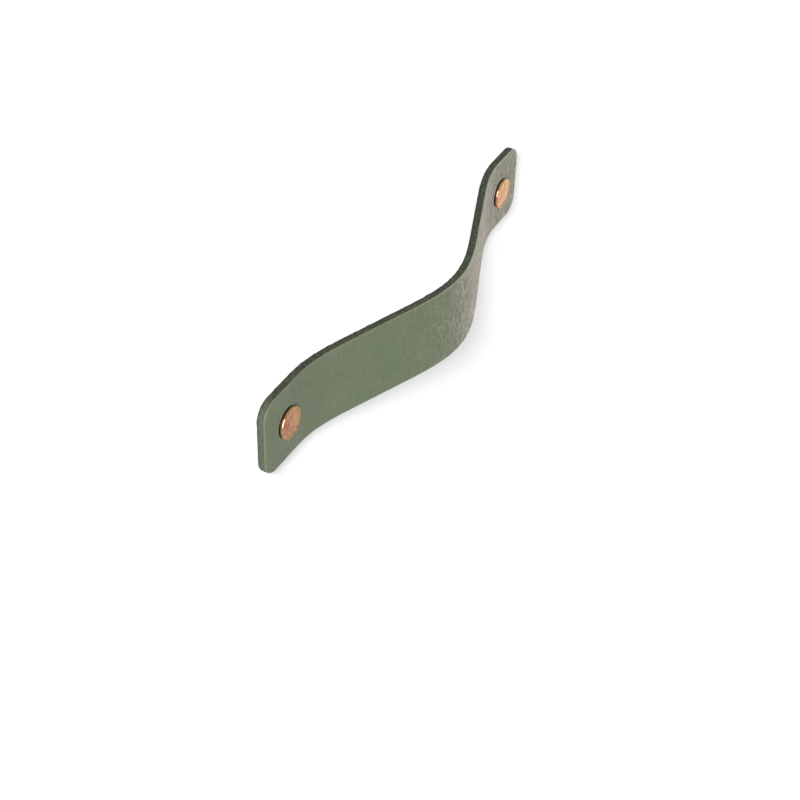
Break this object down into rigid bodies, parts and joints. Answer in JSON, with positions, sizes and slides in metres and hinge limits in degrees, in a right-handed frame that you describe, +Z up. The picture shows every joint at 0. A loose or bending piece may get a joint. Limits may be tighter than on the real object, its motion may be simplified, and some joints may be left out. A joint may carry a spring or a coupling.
{
  "type": "leather strap pull",
  "caption": "Leather strap that arches off a drawer front as a finger pull, held flat at its ends by round metal cap posts and machine screws from behind.",
  "frame": {"origin": "on the drawer front, midway between the two screws", "axes": "+X along the strap, -Y out of the drawer front, +Z up across the strap's width"},
  "size_m": [0.159, 0.0417, 0.025],
  "materials": {
    "leather": "sage green coated leather with a raw cut edge",
    "copper": "copper plated, satin",
    "zinc": "zinc plated"
  },
  "bodies": {
    "root": {"strap": "leather", "cap_post_left": "copper", "cap_post_right": "copper", "machine_screw_left": "zinc", "machine_screw_right": "zinc"}
  },
  "joints": []
}
